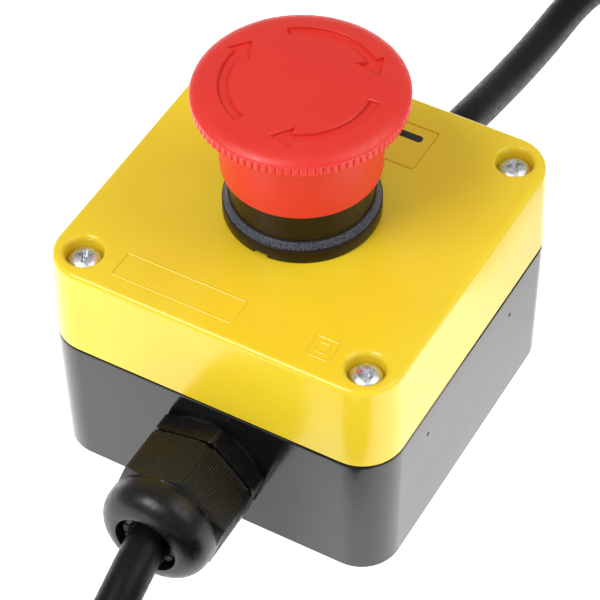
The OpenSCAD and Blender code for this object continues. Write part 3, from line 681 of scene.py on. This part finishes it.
def lid_screw_set():
    """Four zinc-plated pan-head screws with cross recesses, each turned its own way."""
    low, high = box_mm("lid_screws")
    seat = CASE_TOP - WELL_DEPTH
    head_top = high[2]
    head_r = 3.1
    profile = [(0, low[2]), (0.4, low[2]), (1.45, low[2] + 1)]
    turns = 20
    thread_from, thread_to = low[2] + 1.2, seat - 6
    pitch = (thread_to - thread_from) / turns
    for i in range(turns):
        z = thread_from + pitch * i
        profile += [(1.43, z), (1.22, z + pitch * 0.5), (1.43, z + pitch * 0.92)]
    profile += [(1.4, thread_to), (1.4, seat), (head_r - 0.1, seat), (head_r, seat + 0.15), (head_r, seat + 0.7)]
    rise = head_top - seat - 0.7
    profile += [(head_r * math.cos(math.radians(a)), seat + 0.7 + rise * math.sin(math.radians(a)))
                for a in range(15, 90, 15)]
    profile += [(0, head_top)]
    screw = lathe("screw", profile, zinc, count=48)
    cut(screw, *cross_recess(0.42, 1.75, 1.35, head_top - 0.05))
    finish_mesh(screw)
    turned = []
    for angle, (x, y) in zip((20, 62, 41, 8), ((-1, -1), (1, -1), (1, 1), (-1, 1))):
        turned.append(place(copy_of(screw, "screw_copy"), shift(x * SCREW_AT, y * SCREW_AT) @ turn(angle)))
    bpy.data.objects.remove(screw)
    screws = merge("lid_screw_set", turned)
    stands_for(screws, "case", "zinc_steel", "lid_screws")


# ---------------------------------------------------------------- operator

SKIRT_Z = head_low[2]
CROWN_Z = head_high[2]
RIM_Z = CROWN_Z - 4.5
RIM_TOP = CROWN_Z - 2.1
RIBS = 88


def arrow_outline(grow):
    """Outline of one sunk arrow, grown outwards by grow; points (x, y) about the head's axis."""
    middle, thick, barb = 13.95, 1.7, 2.4
    outline = []
    inner, outer = middle - thick / 2 - grow, middle + thick / 2 + grow
    tail = 76 + math.degrees(grow / middle)
    for i in range(17):
        a = math.radians(0.8 + (tail - 0.8) * i / 16)
        outline.append((outer * math.cos(a), outer * math.sin(a)))
    for i in range(16, -1, -1):
        a = math.radians(0.8 + (tail - 0.8) * i / 16)
        outline.append((inner * math.cos(a), inner * math.sin(a)))
    outline.append((middle - barb - grow * 1.7, 0.2 + grow))
    outline.append((middle - 0.1, -3.6 - grow * 1.8))
    outline.append((middle + barb + grow * 1.7, 0.2 + grow))
    return outline


def mushroom():
    """Red head: crowned disc with a ribbed rim, sunk arrows, and a hollow skirt with a hub inside."""
    hub_r, hub_z, ceiling = 5.5, 73.2, 76
    profile = [(3.02, hub_z), (hub_r - 0.3, hub_z), (hub_r, hub_z + 0.3), (hub_r, ceiling - 0.5),
               (hub_r + 0.5, ceiling), (13.5, ceiling), (14, ceiling - 0.5), (14, SKIRT_Z + 0.2),
               (14.2, SKIRT_Z)]
    profile += [(14.9, SKIRT_Z), (15.05, SKIRT_Z + 0.08), (15.12, SKIRT_Z + 0.3), (15.3, 70), (15.48, RIM_Z - 2.2)]
    profile += [(15.6, RIM_Z - 1.4), (15.95, RIM_Z - 0.7), (16.7, RIM_Z - 0.3), (17.8, RIM_Z - 0.08), (19.3, RIM_Z)]
    profile += [(19.65, RIM_Z + 0.1), (19.84, RIM_Z + 0.3), (19.88, RIM_Z + 0.6), (19.88, RIM_Z + 1.2),
                (19.88, RIM_TOP - 0.5), (19.86, RIM_TOP - 0.3), (19.98, RIM_TOP - 0.22), (20, RIM_TOP - 0.1),
                (19.95, RIM_TOP + 0.06), (19.75, RIM_TOP + 0.3)]
    profile += [(19.35, RIM_TOP + 0.62), (18.7, RIM_TOP + 1.0), (17.8, RIM_TOP + 1.32), (16.6, RIM_TOP + 1.55),
                (14.8, RIM_TOP + 1.73), (12, RIM_TOP + 1.87), (8.5, RIM_TOP + 1.98), (4.5, RIM_TOP + 2.06),
                (1.5, RIM_TOP + 2.1)]

    def ribbed(r, z, a):
        """Rounded ribs with narrow valleys around the rim, fading above and below it."""
        if r < 19.2:
            return r
        depth = 0.34 * min(max((z - RIM_Z + 0.05) / 0.4, 0), 1) * (1 if z < RIM_TOP - 0.25 else 0)
        wave = abs(math.sin(a * RIBS / 2))
        return r - depth * (1 - wave) ** 2

    head = lathe("mushroom_cap", profile, red, count=RIBS * 8, radius=ribbed, sharp=40)
    stem_hole = lathe("stem_hole", [(0, hub_z - 5), (3.02, hub_z - 5), (3.02, 79.1), (0, 79.1)], count=40)
    cut(head, stem_hole)
    for i in range(3):
        levels = ((-0.12, CROWN_Z - 1.12), (0, CROWN_Z - 1.02), (0.04, CROWN_Z - 0.62), (0.16, CROWN_Z - 0.42),
                  (0.34, CROWN_Z - 0.28), (0.34, CROWN_Z + 1))
        arrow = loft("arrow", [[(x, y, z) for x, y in arrow_outline(grow)] for grow, z in levels])
        cut(head, place(arrow, turn(52.5 + 120 * i)))
    finish_mesh(head, 40)
    stands_for(head, "button", "red_button", "mushroom_head")


def bezel():
    """Black ring around the button: flange, ribbed slope under a thin speckled band whose lighter blue-grey colour is a
    painted reflection, and a notch in its lower edge.
    """
    low, high = box_mm("bezel_ring")
    r = high[0]
    z0, z1 = low[2], high[2]
    profile = [(11.95, z0 + 0.85), (14.3, z0 + 0.85), (14.3, z0), (r - 0.25, z0), (r - 0.07, z0 + 0.08), (r, z0 + 0.25)]
    profile += [(r, z0 + 2.9), (r - 0.08, z0 + 3.1), (r - 0.3, z0 + 3.25), (14.4, z0 + 3.72), (14.05, z0 + 4.12),
                (13.75, z0 + 4.5), (13.68, z1), (11.95, z1)]

    def slope_ribs(q, z, a):
        """Fine ribs on the slope above the flange."""
        if z0 + 3.2 < z < z1 - 0.1 and q > 13:
            return q - 0.035 * (0.5 + 0.5 * math.cos(a * 144))
        return q

    # The ring's reddish-brown tint is a painted reflection of the red head.
    ring = lathe("bezel_trim", profile, black_satin, count=96 * 6, radius=slope_ribs, sharp=40, closed=True)
    notch = loft("notch", [rounded_rect(1.5, 1.5, 0.2, z, 2, (0, -15.2)) for z in (z0 - 1, z0 + 0.9)])
    cut(ring, place(notch, turn(-2)))
    finish_mesh(ring, 40)
    # Thin sheet laid over the slope that carries the painted reflection.
    band = ((r - 0.22, 3.16), (r - 0.29, 3.27), (14.42, 3.745), (14.07, 4.145), (13.87, 4.38), (13.82, 4.32),
            (14.02, 4.09), (14.37, 3.68), (r - 0.34, 3.2))
    land = lathe("bezel_painted_reflection_band", [(q, z0 + z) for q, z in band], bezel_band_painted_reflection, count=192, closed=True)
    stands_for(merge("bezel_trim_set", [ring, land]), "case", "black_plastic", "bezel_ring")


def coil_spring(node, wire_r, turns=5, steps=36):
    """Compression spring that stands on the case: a coil of wire through the CAD node's box."""
    low, high = box_mm(node)
    cx, cy = (low[0] + high[0]) / 2, (low[1] + high[1]) / 2
    r = (high[0] - low[0]) / 2 - wire_r
    section = [(wire_r * math.cos(math.radians(36 * k)), wire_r * math.sin(math.radians(36 * k))) for k in range(10)]
    rings = []
    for i in range(turns * steps + 1):
        a = 2 * math.pi * i / steps
        z = low[2] + wire_r + (high[2] - low[2] - 2 * wire_r) * i / (turns * steps)
        rings.append([(cx + (r + u) * math.cos(a), cy + (r + u) * math.sin(a), z + v) for u, v in section])
    spring = stands_for(loft(node + "_wire", rings, spring_steel), "case", "spring_steel", node)
    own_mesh(spring)


# ---------------------------------------------------------------- cable glands

HEX_FLAT = 11
HEX_R = 2 * HEX_FLAT / math.sqrt(3)
HEX_TURN = 12.4


def hexagon_radius(a, rib_pitch=0):
    """Radius of the glands' hexagon at angle a, with cut corners and fine ribs along its flats."""
    t = math.radians((math.degrees(a) - HEX_TURN) % 60 - 30)
    r = min(HEX_FLAT / math.cos(t), HEX_R - 0.18)
    if rib_pitch:
        r -= 0.17 * (0.5 - 0.5 * math.cos(2 * math.pi * HEX_FLAT * math.tan(t) / rib_pitch))
    return r


def hex_solid(name, profile, hex_top, count, rib_pitch=0, rib_span=(0, 0)):
    """Solid about Z whose section is the smaller of a hexagon and a turned profile, and round above hex_top."""
    def radius(r, z, a):
        if r < 10 or z > hex_top:
            return r
        ribbed = rib_span[0] < z < rib_span[1]
        return min(r, hexagon_radius(a, rib_pitch if ribbed else 0))
    return lathe(name, profile, gland_black, count=count, radius=radius, sharp=36, closed=True)


def gland_nut_mesh():
    """Dome nut: ribbed hexagon, scalloped shoulder and a fat rounded mouth."""
    start = CASE_HALF + 5
    hex_end = CASE_HALF + 15.3
    end = GLAND_MOUTH
    dome, round_r = 11.2, 4.6
    profile = [(8.95, start), (11.6, start), (12.1, start + 0.25), (12.9, start + 0.75)]
    profile += [(12.9, start + 0.8 + (hex_end - 1.6 - start) * i / 12) for i in range(13)]
    profile += [(12.9 - 1.7 * (i / 14) ** 1.6, hex_end - 0.8 + 1.5 * i / 14) for i in range(1, 15)]
    profile += [(dome - 0.12, hex_end + 0.85), (dome - 0.02, hex_end + 1.3), (dome, hex_end + 2)]
    profile += arc(dome - round_r, end - round_r, round_r, 0, 90, 14)
    profile += [(6.45, end - 0.03), (6.4, end - 0.2), (6.4, start + 9), (8.95, start + 7.6)]
    return hex_solid("dome_nut", profile, hex_end + 0.8, 1440, 0.56, (start + 0.5, hex_end - 0.2))


def gland_body_mesh():
    """Body: threaded spigot, smooth hexagon and front thread, with a bore for the lead."""
    start = CASE_HALF + 0.7
    end = CASE_HALF + 4.7
    profile = [(4.6, 27.5), (9.0, 27.5), (9.3, 27.8)]
    z = 28.4
    while z < start - 0.8:
        profile += [(9.3, z), (8.85, z + 0.55), (9.3, z + 1.1)]
        z += 1.25
    profile += [(9.3, start), (12.2, start), (12.6, start + 0.22), (12.9, start + 0.5), (12.9, end - 0.5),
                (12.6, end - 0.22), (12.2, end), (8.9, end)]
    z = end + 0.6
    while z < end + 7:
        profile += [(8.9, z), (8.45, z + 0.5), (8.9, z + 1.0)]
        z += 1.2
    profile += [(8.9, end + 7.9), (8.6, end + 8.2), (6.2, end + 8.2), (6.2, end + 0.8), (4.6, end + 0.8)]
    return hex_solid("gland_hexagon", profile, end, 360)


def gland_seal_mesh():
    """Rubber seal around the lead, with claws at its mouth."""
    front = GLAND_MOUTH - 1.35
    back = CASE_HALF + 5.6
    profile = [(4.05, back), (6.0, back), (6.0, front - 3.4), (6.1, front - 3), (6.1, front - 0.9)]
    profile += [(5.9, front - 0.35), (5.5, front), (4.7, front), (4.3, front - 0.35), (4.05, front - 1)]
    ring = lathe("claw_ring", profile, rubber, count=96, closed=True)
    slots = []
    for i in range(12):
        slot = loft("slot", [rounded_rect(1.6, 0.32, 0.1, z, 2, (5.9, 0)) for z in (front - 2.4, front + 1)])
        slots.append(place(slot, turn(30 * i + 8)))
    cut(ring, merge("slots", slots))
    return finish_mesh(ring)


def lay_gland(obj, side):
    """Lays a piece drawn along +Z outwards through the case's -Y or +Y wall."""
    matrix = shift(0, 0, GLAND_Z) @ turn(90, "X")
    return place(obj, matrix if side < 0 else turn(180) @ matrix)


def make_glands():
    """Nut, body and seal of both glands, from one mesh each."""
    nut = gland_nut_mesh()
    body = gland_body_mesh()
    seal = gland_seal_mesh()
    for side, which in ((-1, "supply"), (1, "outlet")):
        for source, part, slot in ((nut, "gland_nut", "gland_plastic"), (body, "gland_body", "gland_plastic"),
                                   (seal, "gland_seal", "gasket_rubber")):
            piece = lay_gland(copy_of(source, which + "_" + source.name), side)
            shade(piece.data, 36)
            stands_for(piece, "case", slot, which + "_" + part)
    for spent in (nut, body, seal):
        bpy.data.objects.remove(spent)


# ---------------------------------------------------------------- connectors and coil tie

def connector_profile(r, front_l, length):
    """Turned outline of a moulded connector from the back of its bend relief to its front edge."""
    profile = [(0, 0), (LEAD_R + 1.2, 0), (LEAD_R + 1.6, 0.4)]
    for i in range(5):
        z = 1.6 + 3.9 * i
        rib = LEAD_R + 2.5 + 0.28 * i
        gap = LEAD_R + 1.5 + 0.28 * i
        profile += [(gap, z), (rib - 0.2, z + 0.15), (rib, z + 0.45)]
        profile += [(rib, z + 1.75), (rib - 0.2, z + 2.05), (gap, z + 2.2)]
    profile += [(LEAD_R + 3.1, 21.6), (LEAD_R + 3.6, 22.6), (r - 8, 25), (r - 6.4, 27.2), (r - 5.9, 28.6)]
    neck = length - front_l - 5
    profile += [(r - 5.6, max(neck, 29.4)), (r - 4.9, neck + 1.6), (r - 2, neck + 3.4), (r - 0.8, neck + 4.2)]
    profile += [(r - 0.15, length - front_l + 0.2), (r - 0.02, length - front_l + 1)]
    profile += [(r - 0.02, length - 1), (r - 0.3, length - 0.3), (r - 1, length)]
    return profile


def grips(r, z0, z1, count=24):
    """Slim grip ribs around a connector's waist."""
    bars = []
    for i in range(count):
        bar = loft("bar", [rounded_rect(0.5 - d, 0.45 - d, 0.2, z, 3, (r, 0)) for d, z in
                           ((0.15, z0), (0, z0 + 0.4), (0, z1 - 0.4), (0.15, z1))], connector_rubber)
        bars.append(place(bar, turn(360 * i / count)))
    return bars


def lay_connector(obj, at, heading):
    """Lays a piece drawn along +Z so that it points along Y, turned by heading about Z."""
    return place(obj, shift(*at) @ turn(heading) @ turn(-90, "X"))


def make_plug():
    """Moulded two-pin plug: shell with grips and clip slots, and its pair of pins."""
    r, length = PLUG_R, PLUG_L
    shell = lathe("plug_shell", connector_profile(r, 13, length) + [(0, length)], connector_rubber, count=96)
    hole_profile = [(0, length - 6), (PIN_R + 0.02, length - 6), (PIN_R + 0.02, length + 1), (0, length + 1)]
    cut(shell, *[place(lathe("pin_hole", hole_profile, count=32), shift(s * PIN_OFFSET)) for s in (-1, 1)])
    for s in (-1, 1):
        slot = loft("slot", [rounded_rect(4.1, 2.5, 0.5, z, 3, (0, s * (r + 0.4))) for z in (length - 13, length + 1)])
        cut(shell, slot)
    finish_mesh(shell)
    piece = lay_connector(merge("plug_shell_detail", [shell] + grips(r - 5.7, 28.9, 32.6)), PLUG_AT, -90)
    stands_for(piece, "case", "connector_rubber", "plug_body")
    pin_profile = [(0, length - 8), (PIN_R, length - 8), (PIN_R, length + 15.6), (PIN_R - 0.1, length + 16.6)]
    pin_profile += arc(0, length + 16.6, 2.35, 8, 88, 7) + [(0, length + 18.95)]
    pins = [place(lathe("pin", pin_profile, nickel, count=40), shift(s * PIN_OFFSET)) for s in (-1, 1)]
    pair = lay_connector(merge("plug_pin_pair", pins), PLUG_AT, -90)
    shade(pair.data, 36)
    stands_for(pair, "case", "nickel_pin", "plug_pins")
    return piece, pair


def make_socket():
    """Coupling socket: shell with grips around a recess, and the carrier with its two pin holes."""
    r, length = SOCKET_R, SOCKET_L
    profile = connector_profile(r, 31, length)
    face = length - 17.5
    profile += [(19.5, length), (19.3, length - 0.3), (19.3, face - 8), (0, face - 8)]
    shell = lathe("socket_shell", profile, connector_rubber, count=96)
    finish_mesh(shell)
    piece = lay_connector(merge("socket_shell_detail", [shell] + grips(r - 5.7, 29.3, 31.5)), SOCKET_AT, 180)
    stands_for(piece, "case", "connector_rubber", "socket_body")
    insert_profile = [(0, face - 7.9), (19.25, face - 7.9), (19.25, face - 0.3), (18.9, face), (0, face)]
    insert = lathe("socket_carrier", insert_profile, black_satin, count=96)
    hole_profile = [(0, face - 7), (2.7, face - 7), (2.7, face - 0.5), (3.1, face - 0.1), (3.1, face + 1),
                    (0, face + 1)]
    for s in (-1, 1):
        cut(insert, place(lathe("hole", hole_profile, count=32), shift(s * PIN_OFFSET)))
        slot = loft("slot", [rounded_rect(4, 1.5, 0.3, z, 3, (0, s * 18.3)) for z in (face - 4, face + 1)])
        cut(insert, slot)
    finish_mesh(insert)
    lay_connector(insert, SOCKET_AT, 180)
    stands_for(insert, "case", "black_plastic", "socket_insert")
    return piece, insert


def earth_clips(name, node, at, heading, outer_r, start, length):
    """Pair of sprung earth contacts: strips with rounded ends and a bowed middle."""
    strips = []
    for s in (-1, 1):
        rows = []
        for i in range(17):
            t = i / 16
            half_w = 3.5 * min(1, 0.75 + 2.5 * min(t, 1 - t))
            outer = outer_r - 0.28 + 0.28 * math.sin(math.pi * t)
            z = start + length * t
            rows.append([(-half_w, s * (outer - 0.55), z), (half_w, s * (outer - 0.55), z),
                         (half_w, s * outer, z), (-half_w, s * outer, z)])
        strips.append(loft("strip", rows, nickel))
    clips = lay_connector(merge(name, strips), at, heading)
    bevel = clips.modifiers.new("soft edges", "BEVEL")
    bevel.width = 0.1 * MM
    bevel.segments = 2
    bake_modifiers(clips)
    shade(clips.data, 30)
    return stands_for(clips, "case", "nickel_pin", node)


def make_tie():
    """Hook-and-loop band around one side of the coil, with its overlap on top."""
    half_w, height, thick, half_l = 8.6, 16.05, 0.95, 6
    loops = []
    for y, edge in ((-half_l, 0.15), (-half_l + 0.15, 0), (half_l - 0.15, 0), (half_l, 0.15)):
        outer = rounded_rect(half_w + thick - edge, (height + thick) / 2 - edge, 3.6, y, 8, (0, (height + thick) / 2))
        loops.append([(x, q, z) for x, z, q in outer])
    for y in (half_l, -half_l):
        inner = rounded_rect(half_w, height / 2 - 0.06, 3.2, y, 8, (0, height / 2 + 0.08))
        loops.append([(x, q, z) for x, z, q in inner])
    band = loft("supply_coil_tie", loops, band_fabric, closed=True)
    place(band, shift(coil_centre[0] + COIL_R, coil_centre[1]))
    shade(band.data, 40)
    return stands_for(band, "case", "tie_fabric", "coil_tie")


# ---------------------------------------------------------------- everything together

base_shell()
lid_shell()
legend()
lid_screw_set()
mushroom()
bezel()
make_glands()
plug_piece, pin_piece = make_plug()
socket_piece, insert_piece = make_socket()
plug_clips = earth_clips("plug_clip_pair", "plug_earth_clips", PLUG_AT, -90, 17.4, 37.2, 12.5)
socket_clips = earth_clips("socket_clip_pair", "socket_earth_clips", SOCKET_AT, 180, 18, 44.7, 14.8)
supply_tie = make_tie()

coil_spring("return_spring", 0.5)
coil_spring("contact_spring_1", 0.25)
coil_spring("contact_spring_2", 0.25)

CAD_FINISH = {
    "lid_gasket": rubber, "lip_seal": rubber, "panel_gasket": rubber, "spindle": zinc, "latch_pin": spring_steel,
    "latch_cam": ivory, "operator_body": black_satin, "operator_nut": grey_plastic, "plunger": ivory,
    "pusher_foot": green_plastic, "mount_collar": grey_plastic, "collar_screws": zinc,
    "contact_block_1": red_block, "contact_block_2": red_block, "contact_plunger_1": ivory, "contact_plunger_2": ivory,
    "contact_bridge_1": brass, "contact_bridge_2": brass, "fixed_contacts": brass, "terminal_screws": zinc,
    "terminal_clamps": zinc,
    "supply_gland_washer": rubber, "outlet_gland_washer": rubber, "supply_gland_locknut": gland_black,
    "outlet_gland_locknut": gland_black, "supply_cord_inner": sheath, "outlet_cord_inner": sheath,
    "brown_lead_in": brown_wire, "brown_lead_out": brown_wire, "blue_lead_in": blue_wire, "blue_lead_out": blue_wire,
    "earth_leads": earth_wire, "earth_splice": splice_yellow,
}
for name, material in CAD_FINISH.items():
    nodes[name].data.materials.clear()
    nodes[name].data.materials.append(material)


# ---------------------------------------------------------------- floor and light

def make_floor():
    """Plain white floor, lit from within like a light table."""
    mesh = bpy.data.meshes.new("floor")
    size = 3
    mesh.from_pydata([(-size, -size, 0), (size, -size, 0), (size, size, 0), (-size, size, 0)], [], [(0, 1, 2, 3)])
    floor = bpy.data.objects.new("floor", mesh)
    material = bpy.data.materials.new("white_floor")
    material.use_nodes = True
    bsdf = material.node_tree.nodes["Principled BSDF"]
    bsdf.inputs["Base Color"].default_value = (0.85, 0.85, 0.85, 1)
    bsdf.inputs["Roughness"].default_value = 0.9
    bsdf.inputs["Emission Color"].default_value = (1, 1, 1, 1)
    bsdf.inputs["Emission Strength"].default_value = 1.35
    mesh.materials.append(material)
    bpy.context.scene.collection.objects.link(floor)
    floor.location.z = -0.0004


def area_light(name, size, power, position):
    """Square soft box that points at the middle of the case."""
    data = bpy.data.lights.new(name, "AREA")
    data.shape = "SQUARE"
    data.size = size
    data.energy = power
    light = bpy.data.objects.new(name, data)
    light.location = position
    direction = Vector((0, 0, 0.04)) - Vector(position)
    light.rotation_euler = direction.to_track_quat("-Z", "Y").to_euler()
    bpy.context.scene.collection.objects.link(light)


make_floor()
world = bpy.data.worlds.new("studio")
world.use_nodes = True
world.node_tree.nodes["Background"].inputs["Color"].default_value = (1, 1, 1, 1)
world.node_tree.nodes["Background"].inputs["Strength"].default_value = 0.42
bpy.context.scene.world = world
area_light("key", 0.6, 9.5, (-0.35, -0.7, 1.0))
area_light("fill", 0.8, 5, (0.75, 0.25, 0.95))
bpy.context.scene.view_settings.view_transform = "Standard"
